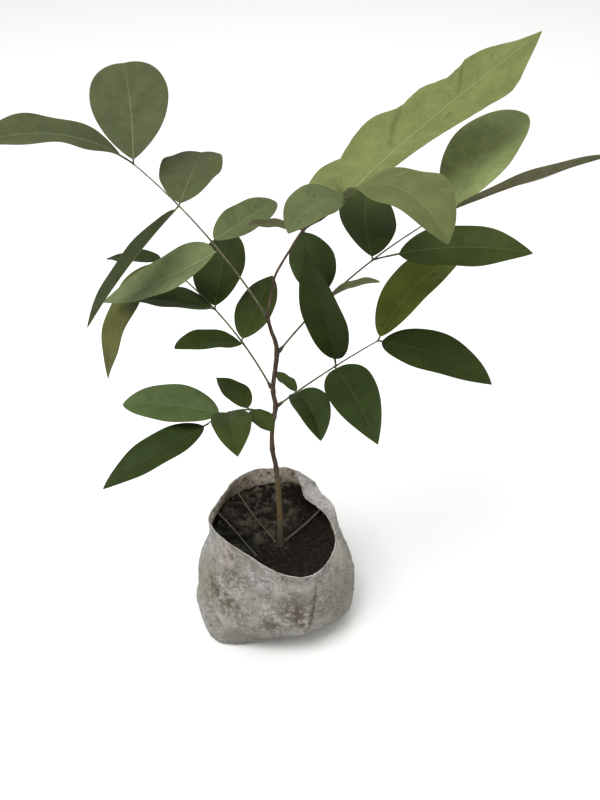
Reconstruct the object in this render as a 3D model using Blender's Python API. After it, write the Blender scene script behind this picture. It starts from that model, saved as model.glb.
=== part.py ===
"""A young tree, half a metre tall, in a soft round grow bag filled with potting soil.

The stem zigzags from leaf to leaf. Five compound leaves leave it on arching stalks, each with
pairs of leaflets along its far part, and a shoot with new leaves tops it. Every stalk is a
bough, and the far part of a compound leaf with its leaflets is one mass of foliage.

Lengths and places are in millimetres up to mesh_object, which turns them into metres. Angles
are in degrees: a heading of 0 is along +X and 90 along +Y, and a rise is measured from level.
The origin is on the flat underside of the bag, with +Z up.
"""

import math
from collections import namedtuple

import bpy
import numpy as np

MM = 0.001
GAP = 0.3                # clearance between pieces that touch on the real plant

# Grow bag: a thin film tube, flat oval underneath, round at the rim.
BAG_WALL = 1.0
WALL_SLANT = 1.2         # the wall leans, so it is wider when measured level
BASE_CENTRE = (0.0, 0.0)
BASE_LENGTH = 136.0
BASE_DEPTH = 88.0
BASE_TURN = 18.0         # the oval's long axis, measured from +X
BASE_SQUARENESS = 4.0    # exponent of the superellipse
BELLY_CENTRE = (3.0, -7.0)
BELLY_LENGTH = 137.0
BELLY_DEPTH = 116.0
BELLY_SQUARENESS = 2.2
BELLY_LEVEL = 0.36       # how far up the wall the bag is widest
RIM_CENTRE = (0.0, -5.0)
RIM_HEIGHT = 105.0
RIM_SLOPE = 7.2          # how much higher and lower the slanting rim gets
RIM_HIGHEST = 130.0      # the heading at which it is highest
# The rim's reach from its centre, every 15 degrees from +X: folded in at 45 degrees, flat from
# 210 to 255 and pulled out at 300.
RIM_REACH = (
    52, 47, 42, 40, 49, 62, 59, 58, 55, 52, 49, 50, 53, 50, 45, 41.5, 41, 43.5, 49, 57, 63.5, 62.5,
    59, 56,
)
TUCK_HEADING = 38.0      # where the rim is folded in, the wall just below it stands further out
TUCK_SPREAD = 40.0
TUCK_DEPTH = 18.0
TUCK_LEVEL = 0.92        # how far up the wall the tuck begins
BAG_SIDES = 36
SOIL_SIDE_LEVELS = (0.05, 0.14, 0.27, 0.42, 0.57, 0.72, 0.86, 1.0)  # shares of the soil's depth

SOIL_CLEARANCE = 0.5
SOIL_LEVEL = 95.0
SOIL_EDGE_HEIGHT = 96.5  # the soil climbs a little where it meets the wall
SOIL_RINGS = (0.93, 0.66, 0.42, 0.2)

# Stem: nodes as (x, y, z, radius). It bends at each leaf and has a small root flare.
STEM_NODES = (
    (8.0, -24.0, 95.3, 3.6),
    (8.0, -24.0, 99.0, 2.8),
    (7.6, -23.5, 110.0, 2.5),
    (7.0, -23.0, 149.0, 2.1),
    (5.2, -22.0, 183.0, 1.9),
    (2.6, -22.5, 204.0, 1.8),
    (3.0, -24.0, 227.0, 1.7),
    (5.8, -25.0, 249.0, 1.8),
    (4.2, -24.5, 266.0, 1.7),
    (7.4, -22.5, 299.0, 1.7),
    (3.6, -23.5, 318.0, 1.4),
    (1.4, -24.0, 329.0, 1.4),
)
SHOOT_NODES = (
    (1.3, -24.0, 329.9, 1.1),
    (4.9, -23.5, 352.0, 0.9),
    (7.4, -23.0, 364.0, 0.9),
    (17.4, -23.0, 384.0, 0.8),
    (27.0, -24.0, 400.5, 0.9),
    (38.0, -24.0, 408.0, 0.8),
    (49.0, -24.0, 418.0, 0.8),
    (54.0, -24.0, 424.0, 0.7),
)
SHOOT_LEAFY_FROM = 50.0  # along the shoot, where its foliage begins
STEM_SIDES = 10
STEM_RINGS = 34
SHOOT_SIDES = 7
SHOOT_RINGS = 12

STALK_SIDES = 7
STALK_RINGS = 7
STALK_RADIUS = 1.0
RACHIS_SIDES = 6
RACHIS_RINGS = 9
RACHIS_RADIUS = 0.9
RACHIS_TIP_RADIUS = 0.6
RACHIS_LEAD = 5.0        # rachis in front of its first leaflets

LEAF_THICKNESS = 0.011   # of a leaflet's length
LEAF_SECTIONS = 9
WAVY_LEAF_SECTIONS = 24
LEAF_SHAPE = 0.62        # how full the outline is towards its ends
STALKLET_WIDTH = 1.2

# One leaflet: where its stalklet leaves the rachis, the way its midrib sets out and how much
# it turns and droops by its tip, the roll of the blade about the midrib, its length and width,
# the fold of each half above level, the widest place and the part that is bare stalklet.
# Lobes are a wavy left margin as (waves, share of the width, phase, its own widest place).
Leaflet = namedtuple(
    "Leaflet",
    "at heading turn rise droop roll length width fold widest neck lobes",
    defaults=(0.44, 0.04, None),
)
# One compound leaf: the stem height it leaves from, the way its stalk sets out, how much it
# turns and droops by the end, and its length.
CompoundLeaf = namedtuple("CompoundLeaf", "place stem_height heading turn rise droop length leaflets")

COMPOUND_LEAVES = (
    CompoundLeaf("lower_left", 238, 192, 0, 48, 91, 56, (
        Leaflet(20, 299, 3, 8, 7, 1, 32, 16, 14),
        Leaflet(22, 121, 9, 9, 17, 1, 46, 20, 15, 0.36),
        Leaflet(37, 277, 3, 25, 23, 2, 68, 31, 23, 0.42),
        Leaflet(42, 169, 4, 10, 21, -19, 77, 33, 15, 0.46),
        Leaflet(56, 216, 2, -4, 10, 2, 91, 33, 11, 0.40),
    )),
    CompoundLeaf("lower_right", 248, 10, 0, 39, 9, 92, (
        Leaflet(20, 122, -5, 2, 13, 12, 32, 12, 14),
        Leaflet(19, 301, -23, 19, 41, 2, 56, 30, 28, 0.41),
        Leaflet(55, 291, -2, 7, 25, 18, 82, 37, 20, 0.38),
        Leaflet(56, 60, -22, 103, -7, 13, 118, 35, 12, 0.44),
        Leaflet(92, 57, -20, 37, 37, 5, 94, 37, 24, 0.56),
        Leaflet(92, 330, -12, 13, 22, 12, 93, 37, 11, 0.40),
    )),
    CompoundLeaf("middle_left", 263, 150, 0, 61, 37, 126, (
        Leaflet(43, 213, 7, 29, 18, -6, 60, 24, 17, 0.46),
        Leaflet(45, 69, 4, 20, 14, 6, 68, 28, 16, 0.40),
        Leaflet(75, 86, -4, 21, 18, -9, 82, 40, 16, 0.40),
        Leaflet(75, 166, -12, 4, 18, 3, 65, 29, 17, 0.53),
        Leaflet(126, 201, 29, -35, 46, 0, 104, 30, 13, 0.34),
        Leaflet(126, 148, -5, -12, 12, 2, 60, 24, 13, 0.41),
    )),
    CompoundLeaf("middle_right", 296, 18, 2, 52, 31, 159, (
        Leaflet(50, 335, -11, 52, 30, 2, 56, 14, 18),
        Leaflet(97, 103, -26, 20, 21, 14, 81, 44, 18, 0.41),
        Leaflet(97, 0, -12, 18, 23, 25, 110, 34, 9, 0.46, 0.17),
        Leaflet(159, 54, -15, 41, 24, 0, 93, 51, 14, 0.43),
        Leaflet(159, 3, -3, 24, 6, -46, 115, 27, 11, 0.54),
    )),
    CompoundLeaf("upper_left", 329, 150, 0, 54, 26, 140, (
        Leaflet(58, 170, 12, -39, -20, -16, 99, 37, 15, 0.35),
        Leaflet(65, 49, 13, 4, 10, 11, 72, 28, 13, 0.45),
        Leaflet(98, 79, 6, 11, 19, -2, 75, 45, 16, 0.43),
        Leaflet(98, 222, -1, -28, 18, 55, 104, 31, 19, 0.56),
        Leaflet(140, 207, 14, 47, 48, -15, 115, 31, 14, 0.60, 0.1),
        Leaflet(140, 93, 12, 36, 17, -3, 85, 53, 11, 0.40),
    )),
)
# The new leaves at the top leave the shoot itself: two at its last bend, four at its tip.
SHOOT_LEAFLETS = (
    Leaflet(75, 233, 0, -112, -10, -38, 65, 31, 3, 0.46),
    Leaflet(75, 163, -9, 3, 19, 54, 40, 14, 14, 0.48),
    Leaflet(111, 209, 29, 22, 56, -8, 53, 32, 11, 0.43),
    Leaflet(112, 53, -28, 17, -3, 1, 189, 52, 4, 0.63, 0.03, (4, 0.12, -8, 0.31)),
    Leaflet(111, -41, -28, 50, 82, 0, 109, 50, 7, 0.47),
    Leaflet(112, 116, 10, 6, 43, -31, 49, 42, 11, 0.45),
)

# Dry leaf stalks that lie on the soil: ends as (x, y), and a radius.
DryStalk = namedtuple("DryStalk", "start end radius")
DRY_STALKS = (
    DryStalk((-41.0, 6.0), (-12.0, -34.0), 1.1),
    DryStalk((-27.0, 30.0), (1.0, -18.0), 1.0),
    DryStalk((35.0, 8.0), (14.0, -17.0), 1.2),
)

Look = namedtuple("Look", "colour roughness")
LOOKS = {
    "leaf": Look((0.035, 0.06, 0.015), 0.5),
    "young_leaf": Look((0.22, 0.30, 0.10), 0.5),
    "bark": Look((0.08, 0.045, 0.03), 0.8),
    "stalk": Look((0.12, 0.11, 0.05), 0.6),
    "bag_film": Look((0.45, 0.43, 0.38), 0.7),
    "soil": Look((0.015, 0.011, 0.008), 0.95),
    "dry_stalk": Look((0.30, 0.24, 0.17), 0.8),
}


def clear_scene():
    for obj in list(bpy.data.objects):
        bpy.data.objects.remove(obj)


def material(name):
    """The named look as a Principled material, made once."""
    found = bpy.data.materials.get(name)
    if found:
        return found
    made = bpy.data.materials.new(name)
    made.use_nodes = True
    shader = made.node_tree.nodes["Principled BSDF"]
    shader.inputs["Base Color"].default_value = (*LOOKS[name].colour, 1.0)
    shader.inputs["Roughness"].default_value = LOOKS[name].roughness
    return made


def mesh_object(name, points, faces, look):
    """An object from points in millimetres."""
    mesh = bpy.data.meshes.new(name)
    mesh.from_pydata([tuple(float(v) * MM for v in point) for point in points], [], faces)
    mesh.shade_smooth()
    mesh.set_sharp_from_angle(angle=math.radians(40))
    mesh.materials.append(material(look))
    obj = bpy.data.objects.new(name, mesh)
    bpy.context.scene.collection.objects.link(obj)
    return obj


def heading_vector(heading, rise):
    level = math.cos(math.radians(rise))
    return np.array((
        level * math.cos(math.radians(heading)),
        level * math.sin(math.radians(heading)),
        math.sin(math.radians(rise)),
    ))


class Path:
    """A curve through points, read by the distance along it."""

    def __init__(self, points):
        self.points = np.array(points, dtype=float)
        steps = np.linalg.norm(np.diff(self.points, axis=0), axis=1)
        self.distances = np.concatenate(((0.0,), np.cumsum(steps)))
        self.length = float(self.distances[-1])

    def at(self, distance):
        return np.array([np.interp(distance, self.distances, self.points[:, i]) for i in range(3)])

    def direction(self, distance):
        low = min(max(distance - 0.5, 0.0), self.length - 1.0)
        step = self.at(low + 1.0) - self.at(low)
        return step / np.linalg.norm(step)

    def clear_of(self, point):
        """How far a point is from the surface of the tube along the curve."""
        return float((np.linalg.norm(self.points - point, axis=1) - self.radii).min())


def arching_path(start, heading, turn, rise, droop, length, steps):
    """A curve whose heading turns and whose rise falls evenly along its length."""
    points = [np.array(start, dtype=float)]
    for step in range(steps):
        share = (step + 0.5) / steps
        way = heading_vector(heading + turn * share, rise - droop * share)
        points.append(points[-1] + way * length / steps)
    return Path(points)


def spline_path(nodes, steps=12):
    """A smooth curve through nodes, with the node radii carried along it."""
    rows = np.array(nodes, dtype=float)
    rows = np.vstack((2 * rows[0] - rows[1], rows, 2 * rows[-1] - rows[-2]))
    samples = []
    for before, here, there, after in zip(rows, rows[1:], rows[2:], rows[3:]):
        for step in range(steps):
            t = step / steps
            bend = (2 * before - 5 * here + 4 * there - after) * t * t
            twist = (3 * here - before - 3 * there + after) * t * t * t
            samples.append(0.5 * (2 * here + (there - before) * t + bend + twist))
    samples.append(rows[-2])
    samples = np.array(samples)
    path = Path(samples[:, :3])
    path.radii = samples[:, 3]
    return path


def tube(path, start, end, radius, sides, rings):
    """A closed tube along a path. radius is a function of the distance along it."""
    points = []
    for distance in np.linspace(start, end, rings):
        along = path.direction(distance)
        across = np.cross(along, (0.0, 1.0, 0.0))
        across /= np.linalg.norm(across)
        over = np.cross(across, along)
        for side in range(sides):
            angle = math.tau * side / sides
            spoke = across * math.cos(angle) - over * math.sin(angle)
            points.append(path.at(distance) + spoke * radius(distance))
    return points, loft_faces(sides, rings)


def loft_faces(sides, rings, returns_at=None):
    """Triangles of a closed loft: rings of points, the first and last ring capped.

    A loft that turns back down its own inside, from ring returns_at on, splits its faces along
    the same diagonals there as the outside does.
    """
    faces = [tuple(reversed(range(sides)))]
    for ring in range(rings - 1):
        for side in range(sides):
            ahead = (side + 1) % sides
            low = ring * sides
            high = low + sides
            if returns_at is None or ring < returns_at:
                faces.append((low + side, low + ahead, high + ahead))
                faces.append((low + side, high + ahead, high + side))
            else:
                faces.append((low + side, low + ahead, high + side))
                faces.append((low + ahead, high + ahead, high + side))
    last = (rings - 1) * sides
    faces.append(tuple(last + side for side in range(sides)))
    return faces


def outline(share, widest):
    """Half width of a leaf outline, 1 at its widest place."""
    fall = LEAF_SHAPE * (1 - widest) / widest
    return (share / widest) ** LEAF_SHAPE * ((1 - share) / (1 - widest)) ** fall


def blade(start, leaf, sections):
    """A thin folded blade: per section its left edge, midrib and right edge, above and below."""
    midrib = arching_path(start, leaf.heading, leaf.turn, leaf.rise, leaf.droop, leaf.length, sections)
    half_thickness = leaf.length * LEAF_THICKNESS / 2
    points = []
    for section, centre in enumerate(midrib.points):
        share = section / sections
        heading = leaf.heading + leaf.turn * share
        along = heading_vector(heading, leaf.rise - leaf.droop * share)
        left = heading_vector(heading + 90, 0)
        above = np.cross(along, left)
        roll = math.radians(leaf.roll)
        left, above = (left * math.cos(roll) + above * math.sin(roll),
                       above * math.cos(roll) - left * math.sin(roll))
        blade_share = max(0.0, (share - leaf.neck) / (1 - leaf.neck))
        width = leaf.width / 2 * outline(blade_share, leaf.widest) + STALKLET_WIDTH / 2
        left_width = width
        if leaf.lobes:
            waves, depth, phase, left_widest = leaf.lobes
            left_width = leaf.width / 2 * outline(blade_share, left_widest) + STALKLET_WIDTH / 2
            left_width *= 1 + depth * math.cos(math.tau * waves * share + math.radians(phase))
        if section == sections:
            width = left_width = STALKLET_WIDTH / 3
        out = math.cos(math.radians(leaf.fold))
        up = math.sin(math.radians(leaf.fold))
        left_edge = centre + left_width * (left * out + above * up)
        right_edge = centre + width * (above * up - left * out)
        lift = above * half_thickness
        points += [left_edge + lift, centre + lift, right_edge + lift]
        points += [right_edge - lift, centre - lift, left_edge - lift]
    return points, loft_faces(6, sections + 1)


def fuse(name, stem, pieces, look):
    """One closed body from a stem and the pieces rooted in it."""
    body = mesh_object(name, *stem, look)
    group = bpy.data.collections.new(name + "_pieces")
    bpy.context.scene.collection.children.link(group)
    for number, piece in enumerate(pieces):
        obj = mesh_object(f"{name}_piece_{number}", *piece, look)
        bpy.context.scene.collection.objects.unlink(obj)
        group.objects.link(obj)
    union = body.modifiers.new("union", "BOOLEAN")
    union.operation = "UNION"
    union.operand_type = "COLLECTION"
    union.collection = group
    union.solver = "EXACT"
    graph = bpy.context.evaluated_depsgraph_get()
    joined = bpy.data.meshes.new_from_object(body.evaluated_get(graph))
    body.modifiers.clear()
    body.data = joined
    for obj in list(group.objects):
        bpy.data.objects.remove(obj)
    bpy.data.collections.remove(group)
    return body


def even_taper(start, end, start_radius, end_radius):
    def radius(distance):
        return float(np.interp(distance, (start, end), (start_radius, end_radius)))
    return radius


def node_radius(path):
    def radius(distance):
        return float(np.interp(distance, path.distances, path.radii))
    return radius


def first_clear(path, neighbours, clearance):
    """How far along a path to start so that it clears each neighbouring tube by a distance."""
    distance = 0.0
    while min(other.clear_of(path.at(distance)) for other in neighbours) < clearance:
        distance += 0.1
    return distance


def stem_point(stem, height):
    heights = stem.points[:, 2]
    return np.array([np.interp(height, heights, stem.points[:, i]) for i in range(3)])


def make_stem():
    stem = spline_path(STEM_NODES)
    points, faces = tube(stem, 0.0, stem.length, node_radius(stem), STEM_SIDES, STEM_RINGS)
    floor = points[0][2]
    points[:STEM_SIDES] = [np.array((p[0], p[1], floor)) for p in points[:STEM_SIDES]]
    mesh_object("trunk", points, faces, "bark")
    return stem


def make_compound_leaf(leaf, stem, neighbours):
    """A bare stalk as far as the first leaflets, then the rachis fused with its leaflets."""
    root = stem_point(stem, leaf.stem_height)
    path = arching_path(root, leaf.heading, leaf.turn, leaf.rise, leaf.droop, leaf.length, 40)
    first = min(leaflet.at for leaflet in leaf.leaflets)
    stalk_end = first - RACHIS_LEAD
    clearance = STALK_RADIUS * math.sin(math.radians(leaf.rise)) + GAP
    stalk_start = first_clear(path, neighbours, clearance)
    taper = even_taper(stalk_start, stalk_end, STALK_RADIUS, RACHIS_RADIUS)
    stalk = tube(path, stalk_start, stalk_end, taper, STALK_SIDES, STALK_RINGS)
    mesh_object("stalk_" + leaf.place, *stalk, "stalk")

    rachis_start = stalk_end + GAP
    taper = even_taper(rachis_start, leaf.length, RACHIS_RADIUS, RACHIS_TIP_RADIUS)
    rachis = tube(path, rachis_start, leaf.length, taper, RACHIS_SIDES, RACHIS_RINGS)
    blades = [blade(path.at(leaflet.at), leaflet, LEAF_SECTIONS) for leaflet in leaf.leaflets]
    fuse("foliage_" + leaf.place, rachis, blades, "leaf")


def make_shoot():
    """The bare foot of the top shoot, then its leafy part with the new leaves."""
    shoot = spline_path(SHOOT_NODES)
    radius = node_radius(shoot)
    foot = tube(shoot, 0.0, SHOOT_LEAFY_FROM, radius, SHOOT_SIDES, SHOOT_RINGS)
    mesh_object("upper_shoot", *foot, "bark")
    leafy = tube(shoot, SHOOT_LEAFY_FROM + GAP, shoot.length, radius, RACHIS_SIDES, SHOOT_RINGS)
    blades = []
    for leaflet in SHOOT_LEAFLETS:
        sections = WAVY_LEAF_SECTIONS if leaflet.lobes else LEAF_SECTIONS
        blades.append(blade(shoot.at(min(leaflet.at, shoot.length)), leaflet, sections))
    fuse("foliage_top", leafy, blades, "young_leaf")
    return shoot


def superellipse(angle, length, depth, squareness):
    """Reach of a rounded oval from its centre at an angle from its long axis."""
    across = abs(math.cos(angle) / (length / 2)) ** squareness
    over = abs(math.sin(angle) / (depth / 2)) ** squareness
    return (across + over) ** (-1 / squareness)


def around(values, angle):
    """A smooth ring of values given at even steps of angle."""
    count = len(values)
    place = (angle / math.tau % 1.0) * count
    index = int(place)
    t = place - index
    before, here, there, after = (values[(index + step) % count] for step in (-1, 0, 1, 2))
    bend = (2 * before - 5 * here + 4 * there - after) * t * t
    twist = (3 * here - before - 3 * there + after) * t * t * t
    return 0.5 * (2 * here + (there - before) * t + bend + twist)


def ease(share):
    share = min(max(share, 0.0), 1.0)
    return share * share * (3 - 2 * share)


def rim_height(angle):
    return RIM_HEIGHT + RIM_SLOPE * math.cos(angle - math.radians(RIM_HIGHEST))


def tuck_share(angle):
    """1 where the rim is folded in most, 0 beyond the tuck's spread on both sides."""
    away = math.remainder(angle - math.radians(TUCK_HEADING), math.tau)
    return ease(1 - abs(away) / math.radians(TUCK_SPREAD))


def wall_point(angle, height, inset):
    """A point on the bag's wall at a height above its underside."""
    base = superellipse(angle - math.radians(BASE_TURN), BASE_LENGTH, BASE_DEPTH, BASE_SQUARENESS)
    belly = superellipse(angle, BELLY_LENGTH, BELLY_DEPTH, BELLY_SQUARENESS)
    rim = around(RIM_REACH, angle)
    level = height / rim_height(angle)
    if level < BELLY_LEVEL:
        swell = math.sin(math.pi / 2 * level / BELLY_LEVEL)
        reach = base + (belly - base) * swell
        centre = np.array(BASE_CENTRE) * (1 - swell) + np.array(BELLY_CENTRE) * swell
    else:
        close = ease((level - BELLY_LEVEL) / (1 - BELLY_LEVEL))
        tuck = TUCK_DEPTH * tuck_share(angle)
        reach = belly + (rim + tuck - belly) * close
        reach -= tuck * ease((level - TUCK_LEVEL) / (1 - TUCK_LEVEL))
        centre = np.array(BELLY_CENTRE) * (1 - close) + np.array(RIM_CENTRE) * close
    reach -= inset
    return np.array((centre[0] + reach * math.cos(angle), centre[1] + reach * math.sin(angle), height))


def wall_angles():
    return [math.tau * side / BAG_SIDES for side in range(BAG_SIDES)]


def wall_ring(height, inset):
    return [wall_point(angle, height, inset) for angle in wall_angles()]


def rim_ring(inset):
    return [wall_point(angle, rim_height(angle), inset) for angle in wall_angles()]


def floor_ring(height, inset):
    """The outline of the underside, lifted to a height."""
    return [np.array((p[0], p[1], height)) for p in wall_ring(0.0, inset)]


def make_bag():
    """A thin shell: up the outside, over the rim, down the inside and across the floor."""
    inset = BAG_WALL * WALL_SLANT
    heights = [share * SOIL_EDGE_HEIGHT for share in SOIL_SIDE_LEVELS]
    rings = [wall_ring(0.0, 0.0)]
    rings += [wall_ring(height, 0.0) for height in heights]
    rings += [rim_ring(0.0), rim_ring(inset)]
    rings += [wall_ring(height, inset) for height in reversed(heights)]
    rings.append(floor_ring(BAG_WALL, inset))
    points = [point for ring in rings for point in ring]
    faces = loft_faces(BAG_SIDES, len(rings), returns_at=len(heights) + 1)
    mesh_object("grow_bag", points, faces, "bag_film")


def make_root_ball():
    """The soil that fills the bag. Its top is level where the stem and the dry stalks rest."""
    inset = (BAG_WALL + SOIL_CLEARANCE) * WALL_SLANT
    rings = [floor_ring(BAG_WALL + GAP, inset)]
    rings += [wall_ring(share * SOIL_EDGE_HEIGHT, inset) for share in SOIL_SIDE_LEVELS]
    foot = np.array((*STEM_NODES[0][:2], SOIL_LEVEL))
    for share in SOIL_RINGS:
        inner = [foot + (point - foot) * share for point in rings[len(SOIL_SIDE_LEVELS)]]
        rings.append([np.array((p[0], p[1], SOIL_LEVEL)) for p in inner])
    points = [point for ring in rings for point in ring]
    mesh_object("root_ball", points, loft_faces(BAG_SIDES, len(rings)), "soil")


def make_dry_stalks():
    for number, stalk in enumerate(DRY_STALKS):
        height = SOIL_LEVEL + GAP + stalk.radius
        path = Path([(*stalk.start, height), (*stalk.end, height)])
        taper = even_taper(0.0, path.length, stalk.radius, stalk.radius * 0.7)
        mesh_object(f"dry_stalk_{number + 1}", *tube(path, 0.0, path.length, taper, RACHIS_SIDES, 3), "dry_stalk")


def main():
    clear_scene()
    make_bag()
    make_root_ball()
    stem = make_stem()
    shoot = make_shoot()
    for leaf in COMPOUND_LEAVES:
        neighbours = (stem, shoot) if leaf.place == "upper_left" else (stem,)
        make_compound_leaf(leaf, stem, neighbours)
    make_dry_stalks()


main()
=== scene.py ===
"""Looks for a young tree in a soft round grow bag.

Lengths and places are in millimetres up to mesh_piece, which turns them into metres. Angles are
in degrees: a heading of 0 is along +X and 90 along +Y, and a rise is measured from level.
"""

import math
import random
from collections import namedtuple

import bpy
import numpy as np
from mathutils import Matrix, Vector, noise


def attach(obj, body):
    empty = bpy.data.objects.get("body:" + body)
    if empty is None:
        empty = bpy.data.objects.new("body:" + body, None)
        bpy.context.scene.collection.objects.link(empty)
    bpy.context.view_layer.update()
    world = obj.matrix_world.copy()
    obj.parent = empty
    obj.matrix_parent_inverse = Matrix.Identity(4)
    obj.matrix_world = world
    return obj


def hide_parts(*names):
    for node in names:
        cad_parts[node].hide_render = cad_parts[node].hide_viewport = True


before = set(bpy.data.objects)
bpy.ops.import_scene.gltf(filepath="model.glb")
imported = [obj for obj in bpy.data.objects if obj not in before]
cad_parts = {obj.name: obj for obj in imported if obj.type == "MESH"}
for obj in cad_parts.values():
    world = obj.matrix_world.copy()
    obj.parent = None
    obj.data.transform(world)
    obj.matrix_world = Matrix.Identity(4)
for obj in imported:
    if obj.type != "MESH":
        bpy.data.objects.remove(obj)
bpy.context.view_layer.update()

MM = 0.001

# --- sizes of the bag

BASE_LENGTH = 136
BASE_DEPTH = 88
BASE_TURN = 18
BASE_SQUARENESS = 4
BELLY_CENTRE = (3, -7)
BELLY_LENGTH = 137
BELLY_DEPTH = 116
BELLY_SQUARENESS = 2.2
BELLY_LEVEL = 0.36
RIM_CENTRE = (0, -5)
RIM_HEIGHT = 105
RIM_SLOPE = 7.2
RIM_HIGHEST = 130
RIM_REACH = (
    52, 47, 42, 40, 49, 62, 59, 58, 55, 52, 49, 50, 53, 50, 45, 41.5, 41, 43.5, 49, 57, 63.5, 62.5,
    59, 56,
)
TUCK_HEADING = 41
TUCK_SPREAD = 40
TUCK_DEPTH = 18
TUCK_FULL = 1.2          # how far out the tuck keeps its whole depth
TUCK_LEVEL = 0.92
TUCK_LEVEL_RISE = 0.06   # its fold climbs on the side towards the back
SOIL_LEVEL = 95
STEM_FOOT = (8.0, -24.0)

# --- sizes of the plant

# Points along the stem and the top shoot, each with the radius there.
STEM_NODES = (
    (8, -24, 94, 3.8), (8, -24, 97, 3.1), (8, -24, 99, 2.8), (7.6, -23.5, 110, 2.5),
    (7, -23, 149, 2.1), (5.2, -22, 183, 1.9), (2.6, -22.5, 204, 1.8), (3, -24, 227, 1.7),
    (5.8, -25, 249, 1.8), (4.2, -24.5, 266, 1.7), (7.4, -22.5, 299, 1.7), (3.6, -23.5, 318, 1.4),
    (1.4, -24, 329, 1.4),
)
SHOOT_NODES = (
    (1.3, -24, 329.9, 1.1), (4.9, -23.5, 352, 0.9), (7.4, -23, 364, 0.9), (17.4, -23, 384, 0.8),
    (27, -24, 400.5, 0.9), (38, -24, 408, 0.8), (49, -24, 418, 0.8), (54, -24, 424, 0.7),
)
SCAR_HEIGHTS = (204, 150, 183)   # swollen bends of the stem, taken for old leaf scars
SHOOT_JOINTS = (75, 27)          # distances along the shoot
STALK_RADIUS = 0.78
RACHIS_TIP_RADIUS = 0.45
LEAF_SHAPE = 0.62
STALKLET_RADII = (0.72, 0.56, 0.40)
STALK_CLEARANCE = 0.25   # a stalk leaves the bark here, and its foot is sunk from there
STALK_SUNK = 0.9
PULVINUS_LENGTH = 6.0    # the dark swollen foot of each compound leaf

# A leaflet as the solids have it, with the tint of its blade after its fold, and then how its
# outline closes at the base and at the tip (0.5 is round, 1 is a straight point) and how far its
# margin ripples.
Leaflet = namedtuple(
    "Leaflet",
    "at heading turn rise droop roll length width fold tint widest neck lobes base tip wave",
    defaults=(0.44, 0.04, None, 0.66, None, 0.6),
)
CompoundLeaf = namedtuple("CompoundLeaf", "place stem_height heading turn rise droop length leaflets")

COMPOUND_LEAVES = (
    CompoundLeaf("lower_left", 238, 192, 0, 48, 91, 56, (
        Leaflet(20, 299, 3, 8, 7, 1, 32, 16, 14, "green"),
        Leaflet(22, 121, 9, 9, 17, 1, 46, 20, 15, "green", 0.36),
        Leaflet(37, 277, 3, 25, 23, 2, 68, 31, 23, "green", 0.42, tip=0.9),
        Leaflet(42, 169, 4, 10, 21, -19, 77, 33, 15, "mid", 0.46),
        Leaflet(56, 216, 2, -4, 10, 2, 91, 33, 11, "dark", 0.40),
    )),
    CompoundLeaf("lower_right", 248, 10, 0, 39, 9, 92, (
        Leaflet(20, 122, -5, 2, 13, 12, 32, 12, 14, "green"),
        Leaflet(19, 301, -23, 19, 41, 2, 56, 30, 28, "dark", 0.41),
        Leaflet(55, 291, -2, 7, 25, 18, 82, 37, 20, "dark", 0.38),
        Leaflet(56, 60, -22, 103, -7, 13, 118, 35, 12, "deep", 0.44, 0.07, base=0.6, tip=0.95),
        Leaflet(92, 57, -20, 37, 37, 5, 94, 37, 24, "lit", 0.56),
        Leaflet(92, 330, -12, 13, 22, 12, 93, 37, 11, "deep", 0.40),
    )),
    CompoundLeaf("middle_left", 263, 150, 0, 61, 37, 126, (
        Leaflet(43, 213, 7, 29, 18, -6, 60, 24, 17, "deep", 0.46),
        Leaflet(45, 69, 4, 20, 14, 6, 68, 28, 16, "green", 0.40),
        Leaflet(75, 86, -4, 21, 18, -9, 82, 40, 16, "green", 0.40),
        Leaflet(75, 166, -12, 4, 18, 3, 65, 29, 17, "mid", 0.53),
        Leaflet(126, 201, 29, -35, 46, 0, 104, 30, 13, "olive", 0.34, wave=1.2),
        Leaflet(126, 148, -5, -12, 12, 2, 60, 20, 13, "deep", 0.41),
    )),
    CompoundLeaf("middle_right", 296, 18, 2, 52, 31, 159, (
        Leaflet(50, 335, -11, 52, 30, 2, 56, 14, 18, "brown"),
        Leaflet(97, 103, -26, 20, 21, 14, 81, 44, 18, "green", 0.41),
        Leaflet(97, 0, -12, 18, 23, 25, 110, 34, 9, "green", 0.46, 0.17, tip=0.95, wave=1.5),
        Leaflet(159, 54, -15, 41, 24, 0, 93, 51, 14, "washed", 0.50, base=0.75, tip=0.6),
        Leaflet(159, 3, -3, 24, 6, -46, 115, 27, 11, "brown", 0.54, tip=0.9),
    )),
    CompoundLeaf("upper_left", 329, 150, 0, 54, 26, 140, (
        Leaflet(58, 170, 12, -39, -20, -16, 99, 38, 15, "faded", 0.30, base=0.55, tip=0.95),
        Leaflet(65, 49, 13, 4, 10, 11, 72, 28, 13, "pale", 0.45, tip=0.55),
        Leaflet(98, 79, 6, 11, 19, -2, 75, 45, 16, "dusty", 0.48, tip=0.6, wave=1.6),
        Leaflet(98, 222, -1, -28, 18, 55, 104, 31, 19, "pale", 0.52, tip=0.95),
        Leaflet(140, 207, 14, 47, 48, -15, 115, 32, 14, "dusty", 0.56, 0.1, tip=0.75, wave=1.6),
        Leaflet(140, 93, 12, 36, 17, -3, 86, 55, 11, "dusty", 0.58, base=0.85, tip=0.5),
    )),
)
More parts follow.
